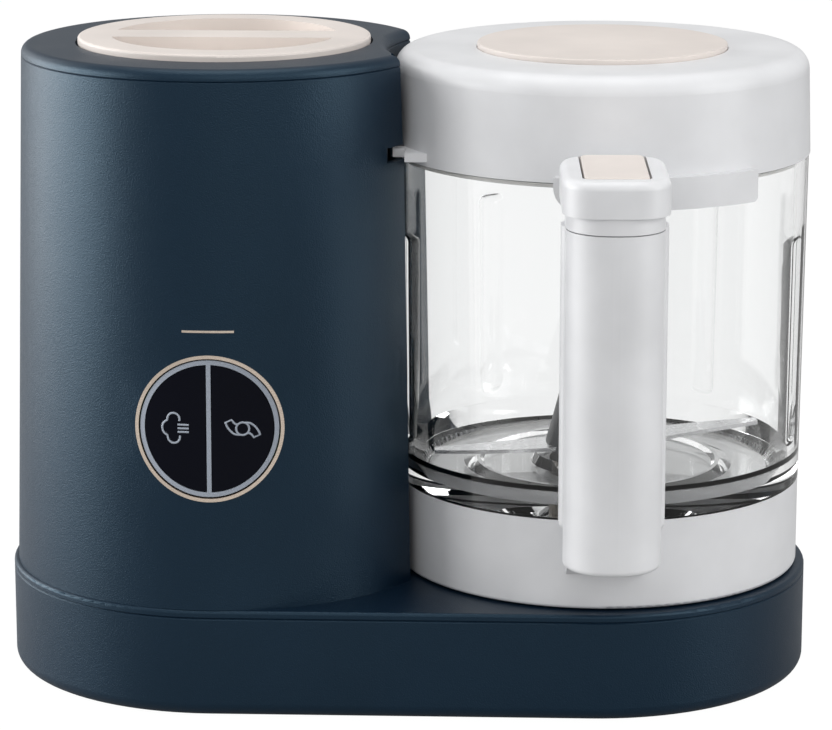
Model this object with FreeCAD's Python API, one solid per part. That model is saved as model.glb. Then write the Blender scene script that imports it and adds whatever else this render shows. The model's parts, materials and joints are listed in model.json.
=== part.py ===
import FreeCAD, Part
import math
import os

V = FreeCAD.Vector
UP = V(0, 0, 1)
BACK = V(0, 1, 0)

# All sizes are in millimetres. The front of the machine faces -Y and the bowl is at +X.

# Base
BASE_LENGTH = 298.0
BASE_WIDTH = 160.5
BASE_EDGE_ROUND = 5.0
SEAM_HEIGHT = 38.2
SEAM_CHAMFER = 0.5
DECK_THICK = 3.0
WALL = 2.6
FOOT_RADIUS = 9.0
FOOT_HEIGHT = 3.0
FOOT_STANDS_OUT = 1.2
FOOT_EDGE_ROUND = 0.4
FOOT_END_INSET = 37.0
FOOT_SIDE_INSET = 46.25
GLAND_RADIUS = 7.0
GLAND_BORE = 3.6
GLAND_HEIGHT = 19.0
GLAND_LENGTH = 13.0
GLAND_FLANGE = 1.5

# Tower. Its room is what is left between its axis and the bowl's hollow.
TOWER_END_STEP = 1.7
TOWER_SIDE_STEP = 0.45
TOWER_TAPER = 5.5
TOWER_HEIGHT = 235.2
TOWER_ROOM = 59.7
BOWL_END_STEP = 0.8
COVER_DEPTH = 4.2
COVER_CHAMFER = 0.35
TOP_EDGE_ROUND = 3.4

# Filler cap and water tank
CAP_RIM = 6.0
CAP_STANDS_OUT = 2.4
CAP_HEIGHT = 12.0
CAP_GAP = 0.9
CAP_EDGE_ROUND = 1.0
CAP_WELL_WALL = 2.0
WELL_RIM = 12.3
WELL_DEPTH = 9.0
GRIP_BAR_WIDTH = 18.0
WELL_EDGE_ROUND = 1.2
PLUG_RADIUS = 30.0
PLUG_LENGTH = 9.0
PLUG_GAP = 1.0
CAP_SEAL_WIDTH = 7.0
CAP_SEAL_GAP = 0.1
CAP_SEAL_THICK = 1.6
TANK_RADIUS = 48.0
TANK_WALL = 1.0
TANK_DROP = 85.2
TANK_FLANGE = 5.0
GASKET_THICK = 1.0
HEATER_RIM = 8.0
HEATER_THICK = 8.0
STEAM_DROP = 28.2
STEAM_PIPE_RADIUS = 4.0
STEAM_PIPE_BORE = 2.6
NOZZLE_RADIUS = 6.0
NOZZLE_STANDS_OUT = 0.6

# Controls on the front of the tower
PANEL_HEIGHT = 107.8
BEZEL_RADIUS = 26.6
BEZEL_WIDTH = 1.25
BEZEL_STANDS_OUT = 0.4
PANEL_GAP = 0.6
LIGHT_RING_WIDTH = 1.6
DIVIDER_WIDTH = 1.6
KEY_GAP = 0.3
KEY_TRAVEL = 1.2
KEY_THICK = 6.4
BOARD_THICK = 1.6
BOARD_RIM = 2.1
BOARD_SETBACK = 10.0
SWITCH_SIZE = 6.0
SWITCH_GAP = 0.3
ACCENT_RISE = 8.45
ACCENT_LENGTH = 18.5
ACCENT_WIDTH = 0.8
ACCENT_DEPTH = 1.0
ACCENT_STANDS_OUT = 0.15

# Motor and drive
MOTOR_RADIUS = 31.0
MOTOR_FOOT_GAP = 22.8
MOTOR_TOP_GAP = 8.0
MOTOR_NOSE_RADIUS = 11.0
MOTOR_NOSE_LENGTH = 6.0
MOTOR_SHAFT_RADIUS = 4.0
BRACKET_RIM = 9.0
BRACKET_THICK = 4.0
BRACKET_LEG_RADIUS = 5.0
BRACKET_LEGS = 3
SHAFT_PLAY = 0.05
BELT_HEIGHT = 20.0
BELT_WIDTH = 8.0
BELT_THICK = 2.4
BELT_CLEARANCE = 0.3
PULLEY_FLANGE = 1.5
PULLEY_LIP = 3.0
MOTOR_PULLEY_RADIUS = 12.0
DRIVE_PULLEY_RADIUS = 30.0
SPINDLE_RADIUS = 5.0
BEARING_RADIUS = 11.0
BEARING_WIDTH = 7.0
BOSS_WALL = 3.0
COUPLING_RADIUS = 15.0
COUPLING_HEIGHT = 9.0
COUPLING_CHAMFER = 1.0
DOG_LENGTH = 20.0
DOG_WIDTH = 6.0
DOG_HEIGHT = 5.0
DOG_CLEARANCE = 0.5

# Screws under the base
SCREW_RADIUS = 2.0
SCREW_HEAD_RADIUS = 3.6
SCREW_HEAD_HEIGHT = 2.2
SCREW_HEAD_GAP = 0.2
SCREW_SIDE_INSET = 18.25
SCREW_END_INSET = 49.0
SCREW_CORNER_INSET = 26.05

# Bowl
COLLAR_CLEARANCE = 4.0
COLLAR_LIFT = 0.6
COLLAR_HEIGHT = 32.7
COLLAR_WALL = 4.0
COLLAR_FLOOR = 4.0
SEAT_HEIGHT = 5.0
SEAT_WALL = 4.0
SEAT_CLEARANCE = 0.6
GLASS_LEDGE = 0.1
GLASS_FLARE = 1.2
GLASS_WALL = 4.0
GLASS_STEP = 4.0
GLASS_STEP_DEPTH = 4.5
GLASS_FLOOR_RISE = 3.5
GLASS_COLLAR_RADIUS = 25.0
GLASS_COLLAR_HEIGHT = 3.5
GLASS_COLLAR_SLOPE = 2.0
FLOOR_RING_RADIUS = 44.0
FLOOR_RING_WIDTH = 6.0
FLOOR_RING_HEIGHT = 1.4
RIB_COUNT = 5
RIB_RADIUS = 7.0
RIB_STANDS_IN = 3.6
RIB_END_ROUND = 3.0
RIB_FLOOR_GAP = 12.0
RIB_RIM_GAP = 28.2
BUSH_RADIUS = 12.0
BUSH_FLANGE_RADIUS = 18.0
BUSH_FLANGE_THICK = 3.0

# Blade
BLADE_SHAFT_RADIUS = 4.0
HUB_FOOT_RADIUS = 20.0
HUB_TOP_RADIUS = 12.0
HUB_HEIGHT = 28.5
HUB_GAP = 1.0
BLADE_TIP_GAP = 9.9
BLADE_ROOT_WIDTH = 20.0
BLADE_TIP_WIDTH = 5.0
BLADE_THICK = 1.4
BLADE_SEAT = 1.0
BLADE_DROOP = 2.0
BLADE_RISE = 6.5
BLADE_TURN = 4.0

# Lid
LID_DROP = 1.5
LID_HEIGHT = 37.2
LID_LEDGE = 0.5
LID_TAPER = 1.2
LID_GAP = 0.3
LID_EDGE_ROUND = 7.0
LID_WALL = 2.6
INLAY_RIM = 29.7
INLAY_THICK = 3.0
INLAY_STANDS_OUT = 1.9
INLAY_EDGE_ROUND = 0.6
INLAY_GAP = 0.3
SPIGOT_DEPTH = 2.6
SPIGOT_WALL = 2.2
SEAL_THICK = 1.5
SEAL_HEIGHT = 1.6
SEAL_CLEARANCE = 0.3
INLET_RADIUS = 5.0
BAR_THICK = 3.6
BAR_DROP = 8.9
BAR_RISE = 2.5
BAR_FIRST_ANGLE = -102.5
BAR_LAST_ANGLE = -47.0
BAR_FIRST_ROUND = 8.0
BAR_LAST_ROUND = 2.0
BAR_GAP = 0.5
TAB_RISE = 1.6
TAB_THICK = 3.1
TAB_FRONT_REACH = 10.27
TAB_BACK_REACH = 5.73
TAB_LENGTH = 12.0
TAB_TONGUE_END = 4.0
TAB_TONGUE_INSET = 0.23
TAB_TONGUE_ROOT = 5.3
TAB_CLEARANCE = 0.7
NOTCH_ROOM = 1.6

# Handle, drawn pointing to the front and then turned about the bowl's axis
HANDLE_TURN = 1.8
HANDLE_STANDS_OUT = 61.4
HEAD_WIDTH = 36.4
HEAD_LID_GAP = 6.4
HEAD_DROP = 0.5
HEAD_HEIGHT = 12.3
HEAD_CORNER = 12.0
HEAD_EDGE_ROUND = 3.0
NECK_HEIGHT = 5.8
NECK_STEP = 0.8
GRIP_WIDTH = 33.6
GRIP_DEPTH = 17.0
GRIP_FOOT_DROP = 2.5
GRIP_CORNER = 15.5
GRIP_EDGE_ROUND = 2.0
SPINE_DEPTH = 11.0
SPINE_CORNER = 3.0
SPINE_RISE = 12.0
HEEL_RISE = 2.0
HEEL_WIDTH = 28.0
GRIP_SEAM = 0.4
ARM_RISE = 13.2
ARM_TOP_GAP = 0.3
ARM_WIDTH = 28.0
FRAME_EDGE_ROUND = 5.0
PAD_WIDTH = 22.6
PAD_BACK_RIM = 2.4
PAD_FRONT_RIM = 7.0
PAD_CORNER = 3.0
PAD_EDGE_ROUND = 0.8
PAD_GAP = 0.35
PAD_STANDS_OUT = 0.4
PAD_THICK = 3.0
PAD_TRAVEL = 3.0

# Radii and lengths worked out from the sizes above
tower_foot_radius = BASE_WIDTH / 2 - TOWER_SIDE_STEP
bowl_length = BASE_LENGTH - TOWER_END_STEP - tower_foot_radius - TOWER_ROOM + BOWL_END_STEP
hollow_radius = bowl_length / 2
cap_radius = TOWER_ROOM - CAP_RIM
collar_radius = hollow_radius - COLLAR_CLEARANCE
glass_foot_radius = collar_radius + GLASS_LEDGE
glass_top_radius = glass_foot_radius + GLASS_FLARE
lid_foot_radius = glass_top_radius + LID_LEDGE
lid_top_radius = lid_foot_radius - LID_TAPER
bar_radius = lid_foot_radius + BAR_THICK
blade_tip_radius = glass_foot_radius - GLASS_WALL - BLADE_TIP_GAP
bracket_radius = MOTOR_RADIUS + BRACKET_RIM
light_radius = BEZEL_RADIUS - BEZEL_WIDTH - PANEL_GAP
key_radius = light_radius - LIGHT_RING_WIDTH - KEY_GAP
handle_reach = lid_foot_radius + HANDLE_STANDS_OUT
grip_back = handle_reach - GRIP_DEPTH
spine_back = grip_back - SPINE_DEPTH
head_back = lid_foot_radius + HEAD_LID_GAP

# Heights worked out from the sizes above
deck_height = SEAM_HEIGHT + DECK_THICK
cover_line = TOWER_HEIGHT - COVER_DEPTH
cap_top = TOWER_HEIGHT + CAP_STANDS_OUT
cap_bottom = cap_top - CAP_HEIGHT
cover_floor = cap_bottom - CAP_SEAL_THICK - CAP_SEAL_GAP
tank_top = cover_floor - WALL - GASKET_THICK
tank_bottom = TOWER_HEIGHT - TANK_DROP
steam_height = TOWER_HEIGHT - STEAM_DROP
motor_bottom = deck_height + MOTOR_FOOT_GAP
motor_top = tank_bottom - HEATER_THICK - MOTOR_TOP_GAP
shaft_end = (motor_bottom + motor_top) / 2
bracket_bottom = motor_bottom - BRACKET_THICK
accent_height = PANEL_HEIGHT + BEZEL_RADIUS + ACCENT_RISE
pan_floor = FOOT_STANDS_OUT + WALL
seat_top = deck_height + SEAT_HEIGHT
coupling_bottom = seat_top - WALL
coupling_top = coupling_bottom + COUPLING_HEIGHT
shaft_bottom = coupling_top + DOG_CLEARANCE + DOG_HEIGHT
collar_bottom = deck_height + COLLAR_LIFT
collar_top = collar_bottom + COLLAR_HEIGHT
glass_bottom = collar_top - GLASS_STEP_DEPTH
collar_shelf = glass_bottom - GASKET_THICK
glass_floor = collar_top + GLASS_FLOOR_RISE
hub_bottom = glass_floor + GLASS_COLLAR_HEIGHT + HUB_GAP * 2
hub_top = hub_bottom + HUB_HEIGHT
blade_height = hub_bottom + BLADE_SEAT
lid_top = TOWER_HEIGHT - LID_DROP
lid_bottom = lid_top - LID_HEIGHT
glass_top = lid_bottom - LID_GAP
bar_bottom = lid_bottom - BAR_DROP
bar_top = lid_bottom + BAR_RISE
tab_bottom = lid_bottom + TAB_RISE
tab_top = tab_bottom + TAB_THICK
head_bottom = lid_bottom - HEAD_DROP
head_top = head_bottom + HEAD_HEIGHT
grip_top = head_bottom - NECK_HEIGHT
grip_bottom = collar_top - GRIP_FOOT_DROP
spine_bottom = grip_bottom + SPINE_RISE
heel_bottom = grip_bottom + HEEL_RISE
arm_bottom = collar_bottom + ARM_RISE
arm_top = collar_top - ARM_TOP_GAP

# Axes of the tower and the bowl, with the whole machine centred on the origin
turn = math.radians(HANDLE_TURN)
head_corner_x = HEAD_WIDTH / 2 - HEAD_CORNER
front_reach = (handle_reach - HEAD_CORNER) * math.cos(turn) + head_corner_x * math.sin(turn) + HEAD_CORNER
AXIS_Y = (front_reach - BASE_WIDTH / 2 - GLAND_FLANGE) / 2
TOWER_X = TOWER_END_STEP + tower_foot_radius - BASE_LENGTH / 2
BOWL_X = BASE_LENGTH / 2 - hollow_radius + BOWL_END_STEP
TOWER = V(TOWER_X, AXIS_Y, 0)
BOWL = V(BOWL_X, AXIS_Y, 0)
span = BOWL_X - TOWER_X


def tower_radius(z):
    draft = TOWER_TAPER / (TOWER_HEIGHT - deck_height)
    return tower_foot_radius - draft * (z - deck_height)


# The tower's wall and the bowl's hollow meet in an edge, and the lid's tab locks behind it
edge_radius = tower_radius(tab_top)
edge_offset = (span ** 2 + edge_radius ** 2 - hollow_radius ** 2) / (2 * span)
edge_depth = math.sqrt(edge_radius ** 2 - edge_offset ** 2)
edge_x = TOWER_X + edge_offset
tab_front = edge_depth + TAB_FRONT_REACH
tab_back = edge_depth - TAB_BACK_REACH
tongue_front = edge_depth - TAB_TONGUE_INSET
front_y = AXIS_Y - tower_radius(PANEL_HEIGHT)
board_y = front_y + BOARD_SETBACK


# Helpers
def disc(centre, radius, bottom, top):
    return Part.makeCylinder(radius, top - bottom, V(centre.x, centre.y, bottom), UP)


def ring(centre, outer, inner, bottom, top):
    return disc(centre, outer, bottom, top).cut(disc(centre, inner, bottom - 1, top + 1))


def cone(centre, bottom_radius, top_radius, bottom, top):
    return Part.makeCone(bottom_radius, top_radius, top - bottom, V(centre.x, centre.y, bottom), UP)


def block(x0, x1, y0, y1, z0, z1):
    return Part.makeBox(x1 - x0, y1 - y0, z1 - z0, V(x0, y0, z0))


def rod(start, direction, radius, length):
    return Part.makeCylinder(radius, length, start, direction)


def turned(centre, outline):
    points = [V(centre.x + r, centre.y, z) for r, z in outline]
    face = Part.Face(Part.makePolygon(points + points[:1]))
    return face.revolve(centre, UP, 360)


def stadium(length, width, bottom, top):
    radius = width / 2
    run = length / 2 - radius
    front = AXIS_Y - radius
    rear = AXIS_Y + radius
    edges = [
        Part.LineSegment(V(-run, front, bottom), V(run, front, bottom)),
        Part.Arc(V(run, front, bottom), V(run + radius, AXIS_Y, bottom), V(run, rear, bottom)),
        Part.LineSegment(V(run, rear, bottom), V(-run, rear, bottom)),
        Part.Arc(V(-run, rear, bottom), V(-run - radius, AXIS_Y, bottom), V(-run, front, bottom)),
    ]
    wire = Part.Wire([edge.toShape() for edge in edges])
    return Part.Face(wire).extrude(V(0, 0, top - bottom))


def level_edges(shape, height):
    return [edge for edge in shape.Edges
            if abs(edge.BoundBox.ZMin - height) < 0.01 and abs(edge.BoundBox.ZMax - height) < 0.01]


def upright_edges(shape):
    found = []
    for edge in shape.Edges:
        box = edge.BoundBox
        if box.ZLength > 0.5 and box.XLength < 0.01 and box.YLength < 0.01:
            found.append(edge)
    return found


def rounded_block(x0, x1, y0, y1, z0, z1, corner):
    shape = block(x0, x1, y0, y1, z0, z1)
    return shape.makeFillet(corner, upright_edges(shape))


def joined(shapes):
    result = shapes[0]
    for shape in shapes[1:]:
        result = result.fuse(shape)
    return result.removeSplitter()


def less(shape, cuts):
    for cut in cuts:
        shape = shape.cut(cut)
    return shape


def at_corners(end_inset, side_inset):
    x = BASE_LENGTH / 2 - end_inset
    y = BASE_WIDTH / 2 - side_inset
    return [V(-x, AXIS_Y - y, 0), V(-x, AXIS_Y + y, 0), V(x, AXIS_Y - y, 0), V(x, AXIS_Y + y, 0)]


def on_handle(shape):
    shape = shape.copy()
    shape.rotate(V(0, 0, 0), UP, HANDLE_TURN)
    shape.translate(BOWL)
    return shape


# Places of the feet, the screws and the legs of the motor bracket
foot_places = at_corners(FOOT_END_INSET, FOOT_SIDE_INSET)
screw_side = BASE_WIDTH / 2 - SCREW_SIDE_INSET
screw_places = at_corners(SCREW_END_INSET, SCREW_CORNER_INSET)
screw_places += [V(0, AXIS_Y - screw_side, 0), V(0, AXIS_Y + screw_side, 0)]
leg_places = []
for index in range(BRACKET_LEGS):
    angle = 2 * math.pi * (index + 0.5) / BRACKET_LEGS
    reach = bracket_radius - 2 * BRACKET_LEG_RADIUS
    leg_places.append(TOWER + V(reach * math.cos(angle), reach * math.sin(angle), 0))


def base_pan():
    shell = stadium(BASE_LENGTH, BASE_WIDTH, FOOT_STANDS_OUT, SEAM_HEIGHT)
    shell = shell.makeFillet(BASE_EDGE_ROUND, level_edges(shell, FOOT_STANDS_OUT))
    shell = shell.makeChamfer(SEAM_CHAMFER, level_edges(shell, SEAM_HEIGHT))
    hollow = stadium(BASE_LENGTH - 2 * WALL, BASE_WIDTH - 2 * WALL, pan_floor, SEAM_HEIGHT + 1)
    inner_round = BASE_EDGE_ROUND - WALL / 2
    shell = shell.cut(hollow.makeFillet(inner_round, level_edges(hollow, pan_floor)))
    bosses = [disc(BOWL, BEARING_RADIUS + BOSS_WALL, pan_floor, pan_floor + BEARING_WIDTH)]
    bosses += [disc(p, SCREW_HEAD_RADIUS + BOSS_WALL, pan_floor, SEAM_HEIGHT) for p in screw_places]
    shell = joined([shell] + bosses)
    cuts = [disc(BOWL, BEARING_RADIUS, pan_floor, pan_floor + BEARING_WIDTH + 1)]
    cuts += [disc(p, FOOT_RADIUS, 0, FOOT_HEIGHT) for p in foot_places]
    for p in screw_places:
        cuts.append(disc(p, SCREW_HEAD_RADIUS + SCREW_HEAD_GAP, 0, pan_floor + SCREW_HEAD_HEIGHT))
        cuts.append(disc(p, SCREW_RADIUS, 0, SEAM_HEIGHT + 1))
    gland_start = V(TOWER_X, AXIS_Y + BASE_WIDTH / 2 - GLAND_LENGTH, GLAND_HEIGHT)
    cuts.append(rod(gland_start, BACK, GLAND_RADIUS - GLAND_FLANGE, GLAND_LENGTH * 2))
    return less(shell, cuts)


def base_feet():
    feet = []
    for p in foot_places:
        foot = disc(p, FOOT_RADIUS, 0, FOOT_HEIGHT)
        feet.append(foot.makeFillet(FOOT_EDGE_ROUND, level_edges(foot, 0)))
    return Part.makeCompound(feet)


def base_screws():
    screws = []
    for p in screw_places:
        head_top = pan_floor + SCREW_HEAD_HEIGHT
        head = disc(p, SCREW_HEAD_RADIUS, head_top - SCREW_HEAD_HEIGHT, head_top)
        shank = disc(p, SCREW_RADIUS, head_top, SEAM_HEIGHT)
        screws.append(joined([head, shank]))
    return Part.makeCompound(screws)


def cord_gland():
    outer = AXIS_Y + BASE_WIDTH / 2
    flange = rod(V(TOWER_X, outer, GLAND_HEIGHT), BACK, GLAND_RADIUS, GLAND_FLANGE)
    inner = outer - GLAND_LENGTH
    sleeve = rod(V(TOWER_X, inner, GLAND_HEIGHT), BACK, GLAND_RADIUS - GLAND_FLANGE, GLAND_LENGTH)
    bore = rod(V(TOWER_X, inner - 1, GLAND_HEIGHT), BACK, GLAND_BORE, GLAND_LENGTH * 2)
    return joined([flange, sleeve]).cut(bore)


# The tower is a cone with a round hollow for the bowl
def tower_solid(bottom, top, inset):
    body = cone(TOWER, tower_radius(bottom) - inset, tower_radius(top) - inset, bottom, top)
    return body.cut(disc(BOWL, hollow_radius + inset, bottom - 1, top + 1))


def tab_outline(grow, bottom, top):
    rear = -tab_back + grow
    front = block(TAB_CLEARANCE - grow, TAB_LENGTH + grow, -tab_front - grow, rear, bottom, top)
    tongue = block(-TAB_TONGUE_END - grow, TAB_TONGUE_ROOT, -tongue_front - grow, rear, bottom, top)
    shape = joined([front, tongue])
    shape.translate(V(edge_x, AXIS_Y, 0))
    return shape


def upper_housing():
    deck = stadium(BASE_LENGTH, BASE_WIDTH, SEAM_HEIGHT, deck_height)
    deck = deck.makeFillet(WALL / 2, level_edges(deck, deck_height))
    deck = deck.makeChamfer(SEAM_CHAMFER, level_edges(deck, SEAM_HEIGHT))
    seat_radius = collar_radius - COLLAR_WALL - SEAT_CLEARANCE
    seat = ring(BOWL, seat_radius, seat_radius - SEAT_WALL, deck_height, seat_top)
    boss = disc(BOWL, BEARING_RADIUS + BOSS_WALL, deck_height - BEARING_WIDTH - WALL, deck_height)
    tower = tower_solid(deck_height, cover_line, 0)
    tower = tower.makeChamfer(COVER_CHAMFER, level_edges(tower, cover_line))
    shell = joined([deck, tower, seat, boss])
    notch_low = tab_bottom - TAB_CLEARANCE
    notch = block(edge_x - TAB_TONGUE_END - NOTCH_ROOM, edge_x + 1, AXIS_Y - tab_front - WALL,
                  AXIS_Y - tab_back, notch_low, tab_top + NOTCH_ROOM)
    hollow_x = BOWL_X - hollow_radius
    cuts = [
        tower_solid(SEAM_HEIGHT - 1, cover_line + 1, WALL),
        disc(BOWL, BEARING_RADIUS, deck_height - BEARING_WIDTH - WALL - 1, deck_height - WALL),
        disc(BOWL, SPINDLE_RADIUS + 1, deck_height - WALL - 1, deck_height + 1),
        rod(V(TOWER_X, front_y - WALL * 2, PANEL_HEIGHT), BACK, BEZEL_RADIUS, BEZEL_RADIUS),
        rod(V(hollow_x - WALL * 3, AXIS_Y, steam_height), V(1, 0, 0), NOZZLE_RADIUS, WALL * 6),
        accent_bar(ACCENT_STANDS_OUT + 1),
        tab_outline(TAB_CLEARANCE, notch_low, TOWER_HEIGHT),
        notch,
    ]
    return less(shell, cuts)


def accent_bar(proud):
    half = ACCENT_WIDTH / 2
    bar = block(TOWER_X - ACCENT_LENGTH / 2, TOWER_X + ACCENT_LENGTH / 2, front_y - WALL, AXIS_Y,
                accent_height - half, accent_height + half)
    bar = bar.common(tower_solid(deck_height, cover_line, -proud))
    return bar.cut(tower_solid(deck_height, cover_line, ACCENT_DEPTH))


def tower_top_cover():
    lid = tower_solid(cover_line, TOWER_HEIGHT, 0)
    lid = lid.makeChamfer(COVER_CHAMFER, level_edges(lid, cover_line))
    lid = lid.makeFillet(TOP_EDGE_ROUND, level_edges(lid, TOWER_HEIGHT))
    well = cap_radius + CAP_GAP
    lid = joined([lid, disc(TOWER, well + CAP_WELL_WALL, cover_floor - WALL, cover_line)])
    return less(lid, [disc(TOWER, well, cover_floor, TOWER_HEIGHT + 1),
                      disc(TOWER, PLUG_RADIUS + PLUG_GAP, cover_floor - WALL - 1, cover_floor + 1),
                      tab_outline(TAB_CLEARANCE, cover_line - 1, TOWER_HEIGHT + 1)])


# A slice of the control panel has a front that follows the tower and a flat back
def panel_slice(outer, proud, back):
    slug = rod(V(TOWER_X, front_y - WALL * 2, PANEL_HEIGHT), BACK, outer, back - front_y + WALL * 2)
    return slug.common(tower_solid(deck_height, cover_line, -proud))


def panel_bore(radius):
    return rod(V(TOWER_X, front_y - WALL * 4, PANEL_HEIGHT), BACK, radius, BEZEL_RADIUS * 2)


def bezel_ring():
    slug = panel_slice(BEZEL_RADIUS, BEZEL_STANDS_OUT, board_y)
    return slug.cut(panel_bore(BEZEL_RADIUS - BEZEL_WIDTH))


def light_ring():
    half = DIVIDER_WIDTH / 2
    band = panel_slice(light_radius, 0, board_y).cut(panel_bore(light_radius - LIGHT_RING_WIDTH))
    divider = panel_slice(light_radius - LIGHT_RING_WIDTH / 2, 0, board_y)
    upright = block(TOWER_X - half, TOWER_X + half, front_y - WALL, AXIS_Y, deck_height, cover_line)
    divider = divider.common(upright)
    return joined([band, divider])


def key(side):
    edge = TOWER_X + side * (DIVIDER_WIDTH / 2 + KEY_GAP)
    far = edge + side * key_radius * 2
    half = block(min(edge, far), max(edge, far), front_y - WALL, AXIS_Y, deck_height, cover_line)
    return panel_slice(key_radius, 0, front_y + KEY_THICK).common(half)


def control_board():
    half = BEZEL_RADIUS + BOARD_RIM
    return block(TOWER_X - half, TOWER_X + half, board_y, board_y + BOARD_THICK,
                 PANEL_HEIGHT - half, PANEL_HEIGHT + half)


def key_switches():
    half = SWITCH_SIZE / 2
    tip = front_y + KEY_THICK + KEY_TRAVEL + SWITCH_GAP
    low = PANEL_HEIGHT - half
    high = PANEL_HEIGHT + half
    places = [TOWER_X - key_radius / 2, TOWER_X + key_radius / 2]
    return Part.makeCompound([block(x - half, x + half, tip, board_y, low, high) for x in places])


def water_tank():
    inner = TANK_RADIUS - TANK_WALL
    flange = TANK_RADIUS + TANK_FLANGE
    low = tank_bottom + TANK_WALL
    high = tank_top - TANK_WALL
    cup = turned(TOWER, [(0, tank_bottom), (TANK_RADIUS, tank_bottom), (TANK_RADIUS, high), (flange, high),
                         (flange, tank_top), (inner, tank_top), (inner, low), (0, low)])
    port = rod(TOWER + V(inner - TANK_WALL, 0, steam_height), V(1, 0, 0), STEAM_PIPE_BORE, TANK_WALL * 4)
    return cup.cut(port)


def tank_gasket():
    inner = TANK_RADIUS - TANK_WALL
    return ring(TOWER, TANK_RADIUS + TANK_FLANGE, inner, tank_top, tank_top + GASKET_THICK)


def heater_plate():
    plate = disc(TOWER, TANK_RADIUS - HEATER_RIM, tank_bottom - HEATER_THICK, tank_bottom)
    return plate.makeChamfer(WALL / 2, level_edges(plate, tank_bottom - HEATER_THICK))


pipe_start = TOWER_X + TANK_RADIUS
nozzle_start = BOWL_X - hollow_radius - WALL * 2
nozzle_end = BOWL_X - hollow_radius + NOZZLE_STANDS_OUT


def steam_pipe():
    start = V(pipe_start - STEAM_PIPE_RADIUS, AXIS_Y, steam_height)
    length = nozzle_start - start.x
    pipe = rod(start, V(1, 0, 0), STEAM_PIPE_RADIUS, length)
    pipe = pipe.cut(rod(start, V(1, 0, 0), STEAM_PIPE_BORE, length))
    return pipe.cut(disc(TOWER, TANK_RADIUS, tank_bottom, tank_top))


def steam_nozzle():
    start = V(nozzle_start, AXIS_Y, steam_height)
    body = rod(start, V(1, 0, 0), NOZZLE_RADIUS, nozzle_end - nozzle_start)
    return body.cut(rod(start, V(1, 0, 0), STEAM_PIPE_BORE, nozzle_end - nozzle_start))


def motor_body():
    can = disc(TOWER, MOTOR_RADIUS, motor_bottom, motor_top)
    can = can.makeFillet(WALL, level_edges(can, motor_top))
    nose = disc(TOWER, MOTOR_NOSE_RADIUS, motor_bottom - MOTOR_NOSE_LENGTH, motor_bottom)
    bore = disc(TOWER, MOTOR_SHAFT_RADIUS + SHAFT_PLAY, 0, shaft_end + SHAFT_PLAY)
    return joined([can, nose]).cut(bore)


def motor_bracket():
    plate = ring(TOWER, bracket_radius, MOTOR_NOSE_RADIUS, bracket_bottom, motor_bottom)
    legs = [disc(p, BRACKET_LEG_RADIUS, pan_floor, bracket_bottom) for p in leg_places]
    return joined([plate] + legs)


def pulley(centre, radius, bore):
    low = BELT_HEIGHT - BELT_WIDTH / 2 - BELT_CLEARANCE
    high = BELT_HEIGHT + BELT_WIDTH / 2 + BELT_CLEARANCE
    lip = radius + PULLEY_LIP
    under = low - PULLEY_FLANGE
    over = high + PULLEY_FLANGE
    return turned(centre, [(bore, under), (lip, under), (lip, low), (radius, low),
                           (radius, high), (lip, high), (lip, over), (bore, over)])


def motor_shaft():
    return disc(TOWER, MOTOR_SHAFT_RADIUS, BELT_HEIGHT - BELT_WIDTH, shaft_end)


def belt_loop(grow):
    small = MOTOR_PULLEY_RADIUS + grow
    large = DRIVE_PULLEY_RADIUS + grow
    lean = math.asin((large - small) / span)
    low = BELT_HEIGHT - BELT_WIDTH / 2
    ends = []
    for side in (1, -1):
        out = V(-math.sin(lean), side * math.cos(lean), 0)
        ends.append([TOWER + out * small + V(0, 0, low), BOWL + out * large + V(0, 0, low)])
    (top_a, top_b), (low_a, low_b) = ends
    edges = [
        Part.LineSegment(top_a, top_b),
        Part.Arc(top_b, BOWL + V(large, 0, low), low_b),
        Part.LineSegment(low_b, low_a),
        Part.Arc(low_a, TOWER + V(-small, 0, low), top_a),
    ]
    wire = Part.Wire([edge.toShape() for edge in edges])
    return Part.Face(wire).extrude(V(0, 0, BELT_WIDTH))


def drive_belt():
    return belt_loop(BELT_CLEARANCE + BELT_THICK).cut(belt_loop(BELT_CLEARANCE))


def bearing(bottom):
    return ring(BOWL, BEARING_RADIUS, SPINDLE_RADIUS + SHAFT_PLAY, bottom, bottom + BEARING_WIDTH)


def drive_spindle():
    return disc(BOWL, SPINDLE_RADIUS, pan_floor + WALL, coupling_bottom)


def cross(length, width, bottom, top):
    bars = [block(-length / 2, length / 2, -width / 2, width / 2, bottom, top),
            block(-width / 2, width / 2, -length / 2, length / 2, bottom, top)]
    shape = joined(bars)
    shape.translate(BOWL)
    return shape


def drive_coupling():
    cup = disc(BOWL, COUPLING_RADIUS, coupling_bottom, coupling_top)
    cup = cup.makeChamfer(COUPLING_CHAMFER, level_edges(cup, coupling_top))
    socket = cross(DOG_LENGTH + 2 * DOG_CLEARANCE, DOG_WIDTH + 2 * DOG_CLEARANCE,
                   coupling_top - DOG_HEIGHT - DOG_CLEARANCE, coupling_top + 1)
    return cup.cut(socket)


def driven_coupling():
    bottom = coupling_top + DOG_CLEARANCE
    plate = disc(BOWL, COUPLING_RADIUS - COUPLING_CHAMFER, bottom, bottom + DOG_HEIGHT)
    return joined([plate, cross(DOG_LENGTH, DOG_WIDTH, coupling_top - DOG_HEIGHT, bottom)])


def blade_shaft():
    return disc(BOWL, BLADE_SHAFT_RADIUS, shaft_bottom, hub_top - WALL)


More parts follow.
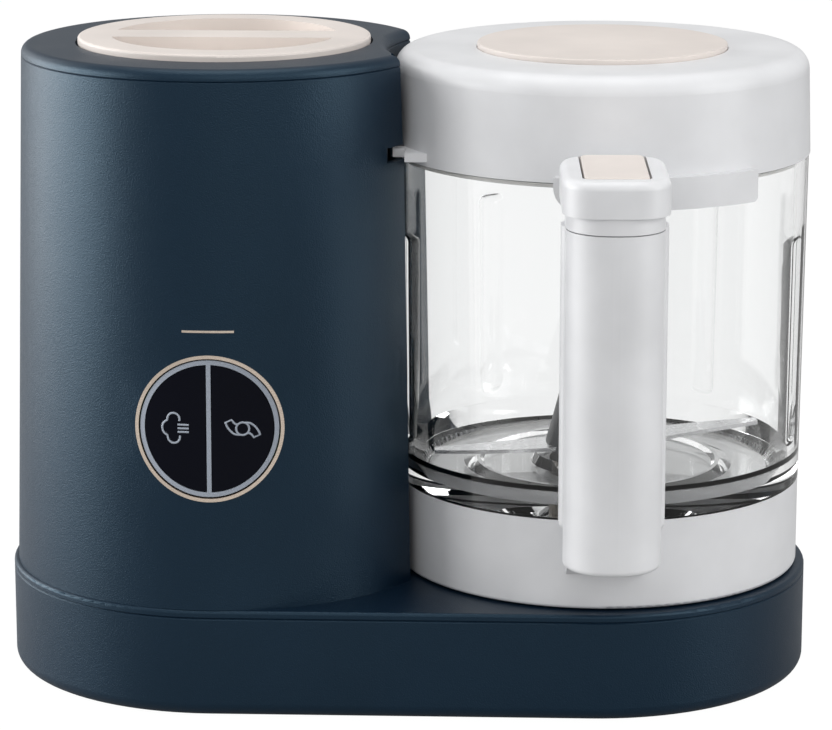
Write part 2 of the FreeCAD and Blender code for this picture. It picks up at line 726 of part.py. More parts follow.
def wing(lift, facing):
    root = HUB_TOP_RADIUS / 2
    length = math.hypot(blade_tip_radius, lift)
    half_root = BLADE_ROOT_WIDTH / 2
    back = V(length * 0.6, half_root * 1.1, 0)
    front = V(length * 0.55, -half_root * 0.25, 0)
    tip_back = V(length, BLADE_TIP_WIDTH * 1.6, 0)
    tip_front = V(length, BLADE_TIP_WIDTH * 0.6, 0)
    edges = [
        Part.LineSegment(V(root, -half_root, 0), V(root, half_root, 0)),
        Part.Arc(V(root, half_root, 0), back, tip_back),
        Part.LineSegment(tip_back, tip_front),
        Part.Arc(tip_front, front, V(root, -half_root, 0)),
    ]
    plan = Part.Face(Part.Wire([edge.toShape() for edge in edges]))
    shape = plan.extrude(V(0, 0, BLADE_THICK))
    shape.rotate(V(root, 0, 0), V(0, -1, 0), math.degrees(math.asin(lift / length)))
    shape.rotate(V(0, 0, 0), UP, facing)
    shape.translate(BOWL + V(0, 0, blade_height))
    return shape


def cutting_blade():
    middle = disc(BOWL, HUB_TOP_RADIUS, blade_height, blade_height + BLADE_THICK)
    wings = [wing(BLADE_RISE, BLADE_TURN), wing(-BLADE_DROOP, BLADE_TURN + 180)]
    return joined([middle] + wings).cut(disc(BOWL, BLADE_SHAFT_RADIUS, 0, hub_top))


def blade_hub():
    hub = cone(BOWL, HUB_FOOT_RADIUS, HUB_TOP_RADIUS, hub_bottom, hub_top)
    hub = hub.makeFillet(HUB_TOP_RADIUS / 3, level_edges(hub, hub_top))
    return less(hub, [disc(BOWL, BLADE_SHAFT_RADIUS, 0, hub_top - WALL), cutting_blade()])


def bowl_collar():
    inner = collar_radius - COLLAR_WALL
    rim = glass_foot_radius - GLASS_STEP
    hole = BUSH_FLANGE_RADIUS + WALL
    under = collar_shelf - COLLAR_FLOOR
    body = turned(BOWL, [(hole, under), (inner, under), (inner, collar_bottom),
                         (collar_radius, collar_bottom), (collar_radius, collar_top),
                         (rim, collar_top), (rim, collar_shelf), (hole, collar_shelf)])
    outer = [e for e in level_edges(body, collar_bottom) if e.BoundBox.XLength > inner * 2 + 1]
    return body.makeFillet(WALL / 2, outer)


def collar_gasket():
    outer = glass_foot_radius - GLASS_STEP - SEAT_CLEARANCE
    return ring(BOWL, outer, outer - SEAT_WALL, collar_shelf, glass_bottom)


def glass_inner(z):
    share = (z - collar_top) / (glass_top - collar_top)
    return glass_foot_radius + GLASS_FLARE * share - GLASS_WALL


def glass_bowl():
    step = glass_foot_radius - GLASS_STEP
    ledge = glass_floor + GLASS_COLLAR_HEIGHT
    heel = glass_floor + GLASS_WALL * 2
    floor_radius = glass_inner(heel) - GLASS_WALL * 2
    ridge = glass_floor + FLOOR_RING_HEIGHT
    body = turned(BOWL, [(BUSH_RADIUS, glass_bottom), (step, glass_bottom), (step, collar_top),
                         (glass_foot_radius, collar_top), (glass_top_radius, glass_top),
                         (glass_top_radius - GLASS_WALL, glass_top), (glass_inner(heel), heel),
                         (floor_radius, glass_floor), (FLOOR_RING_RADIUS + FLOOR_RING_WIDTH, glass_floor),
                         (FLOOR_RING_RADIUS + FLOOR_RING_HEIGHT, ridge), (FLOOR_RING_RADIUS, ridge),
                         (FLOOR_RING_RADIUS - FLOOR_RING_HEIGHT, glass_floor),
                         (GLASS_COLLAR_RADIUS, glass_floor),
                         (GLASS_COLLAR_RADIUS - GLASS_COLLAR_SLOPE, ledge), (BUSH_RADIUS, ledge)])
    low = glass_floor + RIB_FLOOR_GAP
    high = glass_top - RIB_RIM_GAP
    reach = glass_inner(high) + RIB_RADIUS - RIB_STANDS_IN
    skin = cone(BOWL, glass_inner(low) + GLASS_WALL / 2, glass_inner(high) + GLASS_WALL / 2, low, high)
    ribs = []
    for index in range(RIB_COUNT):
        angle = math.radians(360 * index / RIB_COUNT - 90)
        rib = disc(BOWL + V(reach * math.cos(angle), reach * math.sin(angle), 0), RIB_RADIUS, low, high)
        rib = rib.makeFillet(RIB_END_ROUND, level_edges(rib, low) + level_edges(rib, high))
        ribs.append(rib.common(skin))
    return joined([body] + ribs)


def blade_bush():
    low = glass_bottom - BUSH_FLANGE_THICK
    high = hub_bottom - HUB_GAP
    bore = BLADE_SHAFT_RADIUS + SHAFT_PLAY
    return turned(BOWL, [(bore, low), (BUSH_FLANGE_RADIUS, low), (BUSH_FLANGE_RADIUS, glass_bottom),
                         (BUSH_RADIUS, glass_bottom), (BUSH_RADIUS, high), (bore, high)])


def lid_radius(z):
    return lid_foot_radius - LID_TAPER * (z - lid_bottom) / LID_HEIGHT


spigot_radius = glass_top_radius - GLASS_WALL - SEAL_CLEARANCE - SEAL_THICK - SEAL_CLEARANCE


def sector(radius, first, last, bottom, top):
    shape = Part.makeCylinder(radius, top - bottom, V(0, 0, bottom), UP, last - first)
    shape.rotate(V(0, 0, 0), UP, first)
    shape.translate(BOWL)
    return shape


def lid_shell():
    outer = cone(BOWL, lid_foot_radius, lid_top_radius, lid_bottom, lid_top)
    outer = outer.makeFillet(LID_EDGE_ROUND, level_edges(outer, lid_top))
    ceiling = lid_top - LID_WALL - INLAY_THICK
    spigot_inner = spigot_radius - SPIGOT_WALL
    inner = cone(BOWL, spigot_inner, lid_radius(ceiling) - LID_EDGE_ROUND, lid_bottom - 1, ceiling)
    spigot = ring(BOWL, spigot_radius, spigot_inner, lid_bottom - SPIGOT_DEPTH, lid_bottom)
    bar = sector(bar_radius, BAR_FIRST_ANGLE, BAR_LAST_ANGLE, bar_bottom, bar_top)
    bar = bar.cut(disc(BOWL, glass_top_radius + BAR_GAP, bar_bottom - 1, bar_top + 1))
    ends = [e for e in level_edges(bar, bar_bottom) if e.Length < BAR_THICK * 2]
    ends.sort(key=lambda e: e.CenterOfMass.x)
    bar = bar.makeFillet(BAR_FIRST_ROUND, ends[:1])
    ends = [e for e in level_edges(bar, bar_bottom) if e.Length < BAR_THICK * 2]
    ends.sort(key=lambda e: e.CenterOfMass.x)
    bar = bar.makeFillet(BAR_LAST_ROUND, ends[-1:])
    root = sector(bar_radius, BAR_FIRST_ANGLE, BAR_LAST_ANGLE, lid_bottom, bar_top)
    root = root.cut(disc(BOWL, lid_foot_radius - LID_WALL, lid_bottom - 1, bar_top + 1))
    tab = tab_outline(0, tab_bottom, tab_top).cut(disc(BOWL, lid_foot_radius - 1, 0, lid_top))
    shell = joined([outer.cut(inner), spigot, bar.fuse(root), tab])
    seat = lid_top + INLAY_STANDS_OUT - INLAY_THICK
    return less(shell, [
        disc(BOWL, lid_top_radius - INLAY_RIM + INLAY_GAP, seat, lid_top + 1),
        rod(BOWL + V(-lid_foot_radius - 2, 0, steam_height), V(1, 0, 0), INLET_RADIUS, LID_EDGE_ROUND * 4),
    ])


def lid_inlay():
    bottom = lid_top + INLAY_STANDS_OUT - INLAY_THICK
    plate = disc(BOWL, lid_top_radius - INLAY_RIM, bottom, bottom + INLAY_THICK)
    return plate.makeFillet(INLAY_EDGE_ROUND, level_edges(plate, bottom + INLAY_THICK))


def lid_seal():
    inner = spigot_radius + SEAL_CLEARANCE
    middle = lid_bottom - SPIGOT_DEPTH / 2
    return ring(BOWL, inner + SEAL_THICK, inner, middle - SEAL_HEIGHT / 2, middle + SEAL_HEIGHT / 2)


def tank_cap():
    cap = disc(TOWER, cap_radius, cap_bottom, cap_top)
    cap = cap.makeFillet(CAP_EDGE_ROUND, level_edges(cap, cap_top))
    half = GRIP_BAR_WIDTH / 2
    well = cap_radius - WELL_RIM
    bar = block(-well, well, -half, half, cap_bottom, cap_top)
    bar.translate(TOWER)
    wells = disc(TOWER, well, cap_top - WELL_DEPTH, cap_top + 1).cut(bar)
    wells = wells.makeFillet(WELL_EDGE_ROUND, level_edges(wells, cap_top - WELL_DEPTH))
    return joined([cap.cut(wells), disc(TOWER, PLUG_RADIUS, cap_bottom - PLUG_LENGTH, cap_bottom)])


def cap_seal():
    inner = PLUG_RADIUS + PLUG_GAP
    return ring(TOWER, inner + CAP_SEAL_WIDTH, inner, cover_floor, cover_floor + CAP_SEAL_THICK)


def handle_frame():
    half = HEAD_WIDTH / 2
    spine = rounded_block(-half, half, -grip_back, -spine_back, spine_bottom, grip_top, SPINE_CORNER)
    spine = spine.makeFillet(FRAME_EDGE_ROUND / 2, level_edges(spine, spine_bottom))
    half = HEEL_WIDTH / 2
    heel = block(-half, half, -grip_back, -spine_back, heel_bottom, spine_bottom + FRAME_EDGE_ROUND)
    outer = -spine_back - WALL
    outline = [(outer, spine_bottom), (outer, heel_bottom), (-collar_radius, arm_bottom),
               (0, arm_bottom), (0, arm_top), (-lid_foot_radius, arm_top)]
    side = [V(-ARM_WIDTH / 2, y, z) for y, z in outline]
    arm = Part.Face(Part.makePolygon(side + side[:1])).extrude(V(ARM_WIDTH, 0, 0))
    frame = joined([spine, heel, arm])
    return on_handle(frame.cut(Part.makeCylinder(collar_radius, lid_top)))


def handle_grip():
    half = GRIP_WIDTH / 2
    shape = block(-half, half, -handle_reach + NECK_STEP, -grip_back, grip_bottom, grip_top - GRIP_SEAM)
    corners = [e for e in upright_edges(shape) if e.CenterOfMass.y < -grip_back - 1]
    shape = shape.makeFillet(GRIP_CORNER, corners)
    foot = [e for e in level_edges(shape, grip_bottom) if e.BoundBox.YMin < -grip_back - 1]
    return on_handle(shape.makeFillet(GRIP_EDGE_ROUND, foot))


def pad_prism(gap, bottom, top):
    half = PAD_WIDTH / 2 + gap
    front = handle_reach - PAD_FRONT_RIM + gap
    back = head_back + PAD_BACK_RIM - gap
    return rounded_block(-half, half, -front, -back, bottom, top, PAD_CORNER)


def handle_head():
    half = HEAD_WIDTH / 2
    neck_half = GRIP_WIDTH / 2
    head = rounded_block(-half, half, -handle_reach, -head_back, head_bottom, head_top, HEAD_CORNER)
    head = head.makeFillet(HEAD_EDGE_ROUND, level_edges(head, head_top))
    neck = block(-neck_half, neck_half, -handle_reach + NECK_STEP, -spine_back, grip_top, head_bottom)
    corners = [e for e in upright_edges(neck) if e.CenterOfMass.y < -grip_back]
    neck = neck.makeFillet(GRIP_CORNER, corners)
    pocket = pad_prism(PAD_GAP, head_top - PAD_THICK - PAD_TRAVEL - PAD_GAP, head_top + 1)
    return on_handle(joined([head, neck]).cut(pocket))


def release_button():
    pad = pad_prism(-PAD_GAP, head_top - PAD_THICK, head_top + PAD_STANDS_OUT)
    return on_handle(pad.makeFillet(PAD_EDGE_ROUND, level_edges(pad, head_top + PAD_STANDS_OUT)))


pieces = {
    "base_pan": base_pan(),
    "base_feet": base_feet(),
    "base_screws": base_screws(),
    "cord_gland": cord_gland(),
    "upper_housing": upper_housing(),
    "tower_top_cover": tower_top_cover(),
    "bezel_ring": bezel_ring(),
    "light_ring": light_ring(),
    "accent_line": accent_bar(ACCENT_STANDS_OUT),
    "steam_key": key(-1),
    "blend_key": key(1),
    "control_board": control_board(),
    "key_switches": key_switches(),
    "water_tank": water_tank(),
    "tank_gasket": tank_gasket(),
    "heater_plate": heater_plate(),
    "steam_pipe": steam_pipe(),
    "steam_nozzle": steam_nozzle(),
    "motor_body": motor_body(),
    "motor_bracket": motor_bracket(),
    "motor_shaft": motor_shaft(),
    "motor_pulley": pulley(TOWER, MOTOR_PULLEY_RADIUS, MOTOR_SHAFT_RADIUS),
    "drive_belt": drive_belt(),
    "lower_bearing": bearing(pan_floor),
    "upper_bearing": bearing(deck_height - BEARING_WIDTH - WALL),
    "drive_spindle": drive_spindle(),
    "drive_pulley": pulley(BOWL, DRIVE_PULLEY_RADIUS, SPINDLE_RADIUS),
    "drive_coupling": drive_coupling(),
    "driven_coupling": driven_coupling(),
    "blade_shaft": blade_shaft(),
    "blade_hub": blade_hub(),
    "cutting_blade": cutting_blade(),
    "blade_bush": blade_bush(),
    "bowl_collar": bowl_collar(),
    "collar_gasket": collar_gasket(),
    "glass_bowl": glass_bowl(),
    "handle_frame": handle_frame(),
    "handle_grip": handle_grip(),
    "handle_head": handle_head(),
    "release_button": release_button(),
    "lid_shell": lid_shell(),
    "lid_inlay": lid_inlay(),
    "lid_seal": lid_seal(),
    "tank_cap": tank_cap(),
    "cap_seal": cap_seal(),
}

os.makedirs("parts", exist_ok=True)
for name, shape in pieces.items():
    shape.exportStep("parts/" + name + ".step")
    print(name, len(shape.Solids), shape.isValid(), round(shape.Volume))
print("bowl axis", BOWL, "tower axis", TOWER)
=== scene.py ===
# %% [markdown]
# # A baby food maker, dressed for its portrait
# The machine is a navy tower and base with a lidded glass bowl beside the tower. Its solids come from
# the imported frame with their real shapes, so they stay as they are. This lesson places the camera,
# gives each solid its finish, draws the icons on the two keys and lights a small studio.

# %% Load the frame
import json
import math
import bpy
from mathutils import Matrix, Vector


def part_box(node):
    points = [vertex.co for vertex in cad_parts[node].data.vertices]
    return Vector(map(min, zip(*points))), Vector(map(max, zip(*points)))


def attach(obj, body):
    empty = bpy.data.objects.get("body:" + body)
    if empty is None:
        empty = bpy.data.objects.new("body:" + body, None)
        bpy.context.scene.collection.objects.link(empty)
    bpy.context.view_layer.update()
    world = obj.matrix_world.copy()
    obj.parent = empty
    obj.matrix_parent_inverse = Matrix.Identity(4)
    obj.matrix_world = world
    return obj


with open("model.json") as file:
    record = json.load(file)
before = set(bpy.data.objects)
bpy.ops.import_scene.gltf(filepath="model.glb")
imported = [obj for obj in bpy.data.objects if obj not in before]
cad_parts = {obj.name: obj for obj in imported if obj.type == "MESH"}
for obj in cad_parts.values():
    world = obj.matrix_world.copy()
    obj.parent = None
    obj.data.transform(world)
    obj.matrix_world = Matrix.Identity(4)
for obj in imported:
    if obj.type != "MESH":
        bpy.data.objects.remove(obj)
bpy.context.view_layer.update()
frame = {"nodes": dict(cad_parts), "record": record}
nodes = frame["nodes"]
scene = bpy.context.scene
print("pieces loaded:", len(nodes))

# %% [markdown]
# ## Camera
# The photograph looks at the front from a little above, slightly from the right. Such a view could be
# framed by eye, but fitting it to measured edges of the base, the tower and the bowl is surer. The fit
# gave a long lens far away, which keeps the upright walls almost parallel.

# %% Camera
cap_low, cap_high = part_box("tank_cap")
tower_axis = (cap_low + cap_high) / 2
AXIS_Y = tower_axis.y
CAMERA_PLACE = Vector((0.0555, AXIS_Y - 1.311, 0.4233))
CAMERA_YAW = math.radians(2.3)
CAMERA_PITCH = math.radians(13.29)
LENS_PIXELS = 3604.7
FRAME_PIXELS = 832
SENSOR = 36.0

camera_data = bpy.data.cameras.new("camera")
camera_data.sensor_width = SENSOR
camera_data.lens = SENSOR * LENS_PIXELS / FRAME_PIXELS
camera = bpy.data.objects.new("camera", camera_data)
camera.location = CAMERA_PLACE
camera.rotation_euler = (math.pi / 2 - CAMERA_PITCH, 0, CAMERA_YAW)
scene.collection.objects.link(camera)
scene.camera = camera
print("lens", round(camera_data.lens, 1), "mm")

# %% [markdown]
# ## Nodes that every finish shares
# Real surfaces are never one flat colour. Small helpers each add one thing to a material: a noise on
# Object coordinates, a range for it, a tint from it, or a bump. Image textures could do the same, but
# noise needs no file, and on Object coordinates its grain keeps its real size on every piece.


# %% Material helpers
def new_finish(name):
    material = bpy.data.materials.new(name)
    material.use_nodes = True
    tree = material.node_tree
    return material, tree, tree.nodes["Principled BSDF"]


def noise(tree, scale, detail, stretch=(1, 1, 1)):
    place = tree.nodes.new("ShaderNodeTexCoord")
    mapping = tree.nodes.new("ShaderNodeMapping")
    mapping.inputs["Scale"].default_value = stretch
    texture = tree.nodes.new("ShaderNodeTexNoise")
    texture.inputs["Scale"].default_value = scale
    texture.inputs["Detail"].default_value = detail
    tree.links.new(place.outputs["Object"], mapping.inputs["Vector"])
    tree.links.new(mapping.outputs["Vector"], texture.inputs["Vector"])
    return texture.outputs["Fac"]


def spread(tree, value, middle, change):
    remap = tree.nodes.new("ShaderNodeMapRange")
    remap.inputs["To Min"].default_value = middle - change
    remap.inputs["To Max"].default_value = middle + change
    tree.links.new(value, remap.inputs["Value"])
    return remap.outputs["Result"]


TINT_ENDS = (0.3, 0.7)


def tint(tree, value, colour, change):
    ramp = tree.nodes.new("ShaderNodeValToRGB")
    factors = (1 - change, 1 + change)
    for element, factor, position in zip(ramp.color_ramp.elements, factors, TINT_ENDS):
        element.color = [min(c * factor, 1) for c in colour] + [1]
        element.position = position
    tree.links.new(value, ramp.inputs["Fac"])
    return ramp.outputs["Color"]


def grain_bump(tree, shader, value, strength, depth):
    bump = tree.nodes.new("ShaderNodeBump")
    bump.inputs["Strength"].default_value = strength
    bump.inputs["Distance"].default_value = depth
    tree.links.new(value, bump.inputs["Height"])
    tree.links.new(bump.outputs["Normal"], shader.inputs["Normal"])


print("material helpers ready")

# %% [markdown]
# ## Moulded plastic
# The shells are injection moulded: the steel of the mould leaves a fine grain, and the gloss wanders a
# little over a hand's width. A broad noise moves the colour and the gloss, and a fine one makes the
# grain as a bump, because real dents of a tenth of a millimetre would need millions of faces.

# %% Plastics
BROAD_SCALE = 35
BROAD_CHANGE = 0.05
GRAIN_DEPTH = 0.00015


def moulded(name, colour, gloss, grain, strength, sheen=0.5, sheen_tint=(1, 1, 1)):
    material, tree, shader = new_finish(name)
    broad = noise(tree, BROAD_SCALE, 3)
    tree.links.new(tint(tree, broad, colour, BROAD_CHANGE), shader.inputs["Base Color"])
    tree.links.new(spread(tree, broad, gloss, BROAD_CHANGE), shader.inputs["Roughness"])
    shader.inputs["Specular IOR Level"].default_value = sheen
    shader.inputs["Specular Tint"].default_value = (*sheen_tint, 1)
    grain_bump(tree, shader, noise(tree, grain, 2), strength, GRAIN_DEPTH)
    return material


NAVY = (0.0014, 0.0088, 0.0222)
NAVY_SHEEN = (0.50, 0.79, 1.0)
finishes = {
    "navy_plastic": moulded("navy satin plastic", NAVY, 0.38, 2100, 0.8, 0.53, NAVY_SHEEN),
    "cream_plastic": moulded("cream satin plastic", (0.730, 0.666, 0.622), 0.42, 1500, 0.12),
    "white_plastic": moulded("white satin plastic", (0.735, 0.740, 0.755), 0.36, 1400, 0.06),
    "grey_light": moulded("grey light guide", (0.345, 0.385, 0.45), 0.35, 1200, 0.08),
    "black_key": moulded("black key gloss", (0.0016, 0.0021, 0.0062), 0.16, 900, 0.01, 0.12),
    "hub_grey": moulded("dark grey hub plastic", (0.060, 0.064, 0.072), 0.45, 1500, 0.2),
    "silicone": moulded("pale silicone", (0.70, 0.69, 0.67), 0.5, 900, 0.1),
    "rubber": moulded("dark rubber", (0.030, 0.030, 0.032), 0.75, 900, 0.4),
    "board_green": moulded("circuit board lacquer", (0.02, 0.16, 0.07), 0.35, 700, 0.1),
}
print("plastics and lacquers:", len(finishes))

# %% [markdown]
# ## Metals
# The ring and the line on the tower are plated in a pale rose gold. Tank, blade and shafts are steel,
# and the bush is dull sintered bronze. Brushing is a noise squeezed along one axis, which draws out
# into fine lines. A cast piece has the same noise unsqueezed.

# %% Metals
LINE_SCALE = 400
LINE_CHANGE = 0.06
LINE_STRENGTH = 0.08
LINE_DEPTH = 0.0001
BRUSHED = (1, 1, 12)
TURNED = (1, 1, 20)
CAST = (1, 1, 1)


def metal(name, colour, gloss, stretch):
    material, tree, shader = new_finish(name)
    lines = noise(tree, LINE_SCALE, 2, stretch)
    tree.links.new(tint(tree, lines, colour, LINE_CHANGE), shader.inputs["Base Color"])
    tree.links.new(spread(tree, lines, gloss, LINE_CHANGE), shader.inputs["Roughness"])
    shader.inputs["Metallic"].default_value = 1
    grain_bump(tree, shader, lines, LINE_STRENGTH, LINE_DEPTH)
    return material


finishes["rose_gold"] = metal("rose gold plating", (0.95, 0.80, 0.67), 0.28, BRUSHED)
finishes["steel"] = metal("brushed steel", (0.60, 0.60, 0.61), 0.26, BRUSHED)
finishes["brass"] = metal("sintered bronze", (0.27, 0.24, 0.20), 0.45, TURNED)
finishes["motor_metal"] = metal("motor lacquer", (0.24, 0.25, 0.26), 0.42, CAST)
finishes["aluminium"] = metal("cast aluminium", (0.66, 0.66, 0.67), 0.45, CAST)
print("finishes with metals:", len(finishes))

# %% [markdown]
# ## Glass
# The bowl is pressed clear glass. Its walls have a real thickness in the solid, so plain transmission
# bends the light as the real bowl does. A very slight, slow bump stands for the waviness that pressing
# leaves.

# %% Glass
GLASS_WAVE_SCALE = 18
GLASS_WAVE_STRENGTH = 0.06
GLASS_WAVE_DEPTH = 0.001

finishes["clear_glass"], tree, shader = new_finish("clear glass")
shader.inputs["Base Color"].default_value = (0.99, 0.995, 0.995, 1)
shader.inputs["Roughness"].default_value = 0.01
shader.inputs["IOR"].default_value = 1.47
shader.inputs["Transmission Weight"].default_value = 1
grain_bump(tree, shader, noise(tree, GLASS_WAVE_SCALE, 1), GLASS_WAVE_STRENGTH, GLASS_WAVE_DEPTH)
print("finishes in all:", len(finishes))

# %% [markdown]
# ## Put the finishes on
# Every solid names its material slot in the record. Looking the finish up by that slot is safer than a
# list by hand, because a new piece gets its finish by itself.

# %% Finishes on the solids
slot_of = {part["node"]: part["material_slot"] for part in frame["record"]["subparts"]}
for name, piece in nodes.items():
    piece.data.materials.clear()
    piece.data.materials.append(finishes[slot_of[name]])
print("solids with a finish:", len(slot_of))

# %% [markdown]
# ## Key icons
# Each black key carries a fine grey line icon: a cloud with three jets of steam on the left key, and a
# two-winged blade on the right one. They could be painted in the material, but thin tubes give crisp
# lines that also last in the exported mesh. A tube is drawn flat and then laid on the key, whose face
# is a cone about the tower's axis.

# %% Tubes on the keys
key_low, key_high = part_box("steam_key")
panel_x = tower_axis.x
panel_z = (key_low.z + key_high.z) / 2
face_radius = AXIS_Y - key_low.y
DRAFT = 0.02835
LINE_RADIUS = 0.00038


def face_y(x, z):
    radius = face_radius - DRAFT * (z - key_low.z)
    return AXIS_Y - math.sqrt(radius ** 2 - (x - panel_x) ** 2)


def plain_mesh(drawn):
    """The finished mesh of a drawn object, which is then removed."""
    bpy.context.view_layer.update()
    mesh = bpy.data.meshes.new_from_object(drawn.evaluated_get(bpy.context.evaluated_depsgraph_get()))
    bpy.data.objects.remove(drawn)
    return mesh


def line_tube(name, points, closed):
    curve = bpy.data.curves.new(name, "CURVE")
    curve.dimensions = "3D"
    curve.bevel_depth = LINE_RADIUS
    curve.bevel_resolution = 2
    curve.use_fill_caps = True
    spline = curve.splines.new("POLY")
    spline.points.add(len(points) - 1)
    for point, (x, z) in zip(spline.points, points):
        point.co = (x, 0, z, 1)
    spline.use_cyclic_u = closed
    drawn = bpy.data.objects.new(name, curve)
    scene.collection.objects.link(drawn)
    return plain_mesh(drawn)


def icon_piece(name, mesh, body):
    for vertex in mesh.vertices:
        vertex.co.y += face_y(vertex.co.x, vertex.co.z)
    mesh.materials.clear()
    mesh.materials.append(finishes["grey_light"])
    for polygon in mesh.polygons:
        polygon.use_smooth = True
    piece = bpy.data.objects.new(name, mesh)
    scene.collection.objects.link(piece)
    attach(piece, body)
    print(name, len(mesh.polygons), "faces")


# %% [markdown]
# ## Outlines
# The cloud is three arcs that meet, and the wings are smooth curves through a few points. Arcs come
# from a centre and two angles. For the wings a spline through all its points is the easier tool,
# because a point then lies where the line is seen to run.


# %% Smooth outlines
def arc(centre_x, centre_z, radius, first, last, steps=14):
    turns = [math.radians(first + (last - first) * step / steps) for step in range(steps + 1)]
    return [(centre_x + radius * math.cos(t), centre_z + radius * math.sin(t)) for t in turns]


def through(points, steps=6):
    """A smooth line through the points, as short straight pieces."""
    ends = [points[0]] + points + [points[-1]]
    line = []
    for corners in zip(ends, ends[1:], ends[2:], ends[3:]):
        for step in range(steps):
            t = step / steps
            weights = (0.5 * (2 * t * t - t - t ** 3), 0.5 * (3 * t ** 3 - 5 * t * t + 2),
                       0.5 * (t + 4 * t * t - 3 * t ** 3), 0.5 * (t ** 3 - t * t))
            line.append(tuple(sum(w * c[i] for w, c in zip(weights, corners)) for i in (0, 1)))
    return line + [points[-1]]


def on_panel(centre_x, points):
    return [(panel_x + centre_x + x, panel_z + z) for x, z in points]


print("a quarter arc has", len(arc(0, 0, 1, 0, 90)), "points")

# %% [markdown]
# ## Steam icon
# The cloud is one open tube. The jets are one short tube, repeated upwards. Copies made in a loop would
# do, but a Geometry Nodes tree keeps the count and the step as two inputs that can be changed later.
# It ends in Realize Instances and Set Material, so that the result is a plain mesh.

# %% Cloud
CLOUD_X = -0.0119
cloud = arc(-0.0007, 0.0033, 0.0022, -15, 175) + arc(-0.0019, 0.0001, 0.0029, 112, 248)
cloud += arc(-0.0006, -0.0032, 0.0022, 185, 375)
icon_piece("cloud_icon", line_tube("cloud", on_panel(CLOUD_X, cloud), False), "steam_key")

# %% Row of jets
JET_COUNT = 3
JET_STEP = 0.0013
JET_START = 0.0008
JET_END = 0.0048
JET_FIRST = -JET_STEP * (JET_COUNT - 1) / 2
jet = [(JET_START, JET_FIRST), (JET_END, JET_FIRST)]
jet_mesh = line_tube("jet", on_panel(CLOUD_X, jet), False)

tree = bpy.data.node_groups.new("row of jets", "GeometryNodeTree")
tree.interface.new_socket("Geometry", in_out="INPUT", socket_type="NodeSocketGeometry")
count_socket = tree.interface.new_socket("Count", in_out="INPUT", socket_type="NodeSocketInt")
step_socket = tree.interface.new_socket("Step", in_out="INPUT", socket_type="NodeSocketVector")
tree.interface.new_socket("Geometry", in_out="OUTPUT", socket_type="NodeSocketGeometry")
entry = tree.nodes.new("NodeGroupInput")
row = tree.nodes.new("GeometryNodeMeshLine")
place = tree.nodes.new("GeometryNodeInstanceOnPoints")
real = tree.nodes.new("GeometryNodeRealizeInstances")
paint = tree.nodes.new("GeometryNodeSetMaterial")
paint.inputs["Material"].default_value = finishes["grey_light"]
leave = tree.nodes.new("NodeGroupOutput")
tree.links.new(entry.outputs["Count"], row.inputs["Count"])
tree.links.new(entry.outputs["Step"], row.inputs["Offset"])
tree.links.new(row.outputs["Mesh"], place.inputs["Points"])
tree.links.new(entry.outputs["Geometry"], place.inputs["Instance"])
tree.links.new(place.outputs["Instances"], real.inputs["Geometry"])
tree.links.new(real.outputs["Geometry"], paint.inputs["Geometry"])
tree.links.new(paint.outputs["Geometry"], leave.inputs["Geometry"])

drawn = bpy.data.objects.new("jets_drawn", jet_mesh)
scene.collection.objects.link(drawn)
repeat = drawn.modifiers.new("row", "NODES")
repeat.node_group = tree
repeat[count_socket.identifier] = JET_COUNT
repeat[step_socket.identifier] = (0, 0, JET_STEP)
icon_piece("jets_icon", plain_mesh(drawn), "steam_key")

# %% [markdown]
# ## Blade icon
# Two wings reach out from a round pin. One wing is drawn, and the other is the same wing turned half a
# circle about the pin, which only changes the sign of each point.

# %% Blade icon
BLADE_X = 0.0120
PIN_RADIUS = 0.0023
wing = through([(-0.0009, -0.0022), (-0.0030, -0.0018), (-0.0050, 0.0001), (-0.0061, 0.0023)])
wing += [(-0.0039, 0.0033)] + through([(-0.0032, 0.0023), (-0.0022, 0.0016), (-0.0014, 0.0018)])
other_wing = [(-x, -z) for x, z in wing]
pin = arc(0, 0, PIN_RADIUS, 0, 345, 23)
icon_piece("wing_left_icon", line_tube("wing", on_panel(BLADE_X, wing), False), "blend_key")
icon_piece("wing_right_icon", line_tube("other_wing", on_panel(BLADE_X, other_wing), False), "blend_key")
icon_piece("pin_icon", line_tube("pin", on_panel(BLADE_X, pin), True), "blend_key")

# %% [markdown]
# ## Floor and surround
# A pale floor runs out into a white surround. More light could make them white, but it would bleach the
# lid as well. So they glow only for rays from the camera and, a little less, for rays through the glass.
# Reflections get a faint share, because a full one would turn the satin navy grey. A tenth of the
# floor stays a lit surface, which keeps the machine's shadow.

# %% Floor and surround
RAY_SHARES = {"Is Camera Ray": 1.0, "Is Transmission Ray": 0.9, "Is Glossy Ray": 0.1}


def background_share(tree):
    """How much of the white background a ray sees: the largest share of its kinds."""
    path = tree.nodes.new("ShaderNodeLightPath")
    total = None
    for kind, share in RAY_SHARES.items():
        part = tree.nodes.new("ShaderNodeMath")
        part.operation = "MULTIPLY"
        part.inputs[1].default_value = share
        tree.links.new(path.outputs[kind], part.inputs[0])
        if total is None:
            total = part.outputs[0]
            continue
        larger = tree.nodes.new("ShaderNodeMath")
        larger.operation = "MAXIMUM"
        tree.links.new(total, larger.inputs[0])
        tree.links.new(part.outputs[0], larger.inputs[1])
        total = larger.outputs[0]
    return total


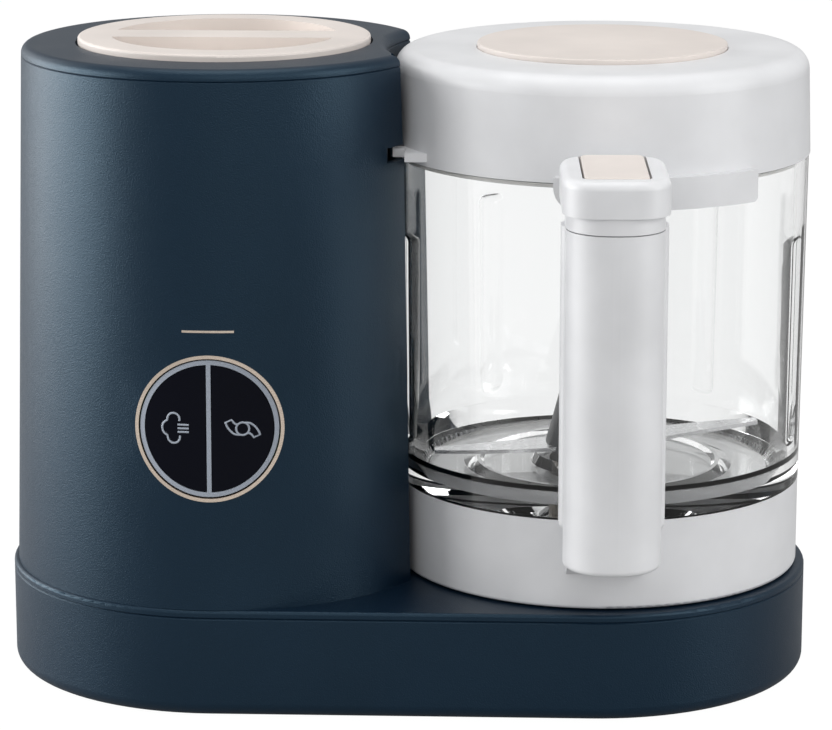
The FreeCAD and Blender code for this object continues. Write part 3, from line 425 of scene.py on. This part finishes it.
FLOOR_HALF = 6.0
FLOOR_GREY = 0.30
FLOOR_ROUGHNESS = 0.6
GLOW_SHARE = 0.9
GLOW_STRENGTH = 1.1
floor_mesh = bpy.data.meshes.new("floor")
corners = [(-FLOOR_HALF, -FLOOR_HALF, 0), (FLOOR_HALF, -FLOOR_HALF, 0),
           (FLOOR_HALF, FLOOR_HALF, 0), (-FLOOR_HALF, FLOOR_HALF, 0)]
floor_mesh.from_pydata(corners, [], [(0, 1, 2, 3)])
floor = bpy.data.objects.new("floor", floor_mesh)
scene.collection.objects.link(floor)
material, tree, shader = new_finish("pale floor")
shader.inputs["Base Color"].default_value = (FLOOR_GREY, FLOOR_GREY, FLOOR_GREY, 1)
shader.inputs["Roughness"].default_value = FLOOR_ROUGHNESS
glow = tree.nodes.new("ShaderNodeEmission")
glow.inputs["Strength"].default_value = GLOW_STRENGTH
share = tree.nodes.new("ShaderNodeMath")
share.operation = "MULTIPLY"
share.inputs[1].default_value = GLOW_SHARE
blend = tree.nodes.new("ShaderNodeMixShader")
tree.links.new(background_share(tree), share.inputs[0])
tree.links.new(share.outputs[0], blend.inputs["Fac"])
tree.links.new(shader.outputs["BSDF"], blend.inputs[1])
tree.links.new(glow.outputs["Emission"], blend.inputs[2])
tree.links.new(blend.outputs["Shader"], tree.nodes["Material Output"].inputs["Surface"])
floor_mesh.materials.append(material)

SURROUND_LIGHT = 0.40
world = bpy.data.worlds.new("surround")
scene.world = world
world.use_nodes = True
sky = world.node_tree
level = sky.nodes.new("ShaderNodeMapRange")
level.inputs["To Min"].default_value = SURROUND_LIGHT
level.inputs["To Max"].default_value = 1.0
sky.links.new(background_share(sky), level.inputs["Value"])
sky.links.new(level.outputs["Result"], sky.nodes["Background"].inputs["Strength"])
sky.nodes["Background"].inputs["Color"].default_value = (1, 1, 1, 1)
print("floor glow to the camera", round(GLOW_SHARE * GLOW_STRENGTH, 2))

# %% [markdown]
# ## Lights
# Three soft lights on the left give the tower its broad highlight: one low and near, one behind and one
# in front. One large lamp could do it too, but three can be balanced so that the white handle isn't
# washed out. One on the right and one in front lift the bowl, and one overhead lights the tops.

# %% Lights
MIDDLE = Vector((0, AXIS_Y, 0.12))


def soft_light(name, place, width, height, watts):
    data = bpy.data.lights.new(name, "AREA")
    data.shape = "RECTANGLE"
    data.size = width
    data.size_y = height
    data.energy = watts
    lamp = bpy.data.objects.new(name, data)
    lamp.location = place
    lamp.rotation_euler = (MIDDLE - Vector(place)).to_track_quat("-Z", "Y").to_euler()
    scene.collection.objects.link(lamp)
    print(name, watts, "W")


soft_light("left_low_softbox", (-0.95, 0.16, 0.24), 0.7, 0.46, 5)
soft_light("left_rear_softbox", (-1.25, 0.70, 0.50), 1.2, 1.3, 7.2)
soft_light("left_front_softbox", (-1.3, -0.35, 0.35), 0.5, 0.9, 7.6)
soft_light("right_softbox", (1.4, -0.5, 0.6), 0.6, 1.2, 9)
soft_light("front_softbox", (0.3, -1.4, 0.8), 1.6, 1.0, 6)
soft_light("top_softbox", (0.0, 0.0, 1.8), 1.5, 1.5, 13.5)
scene.view_settings.view_transform = "Standard"
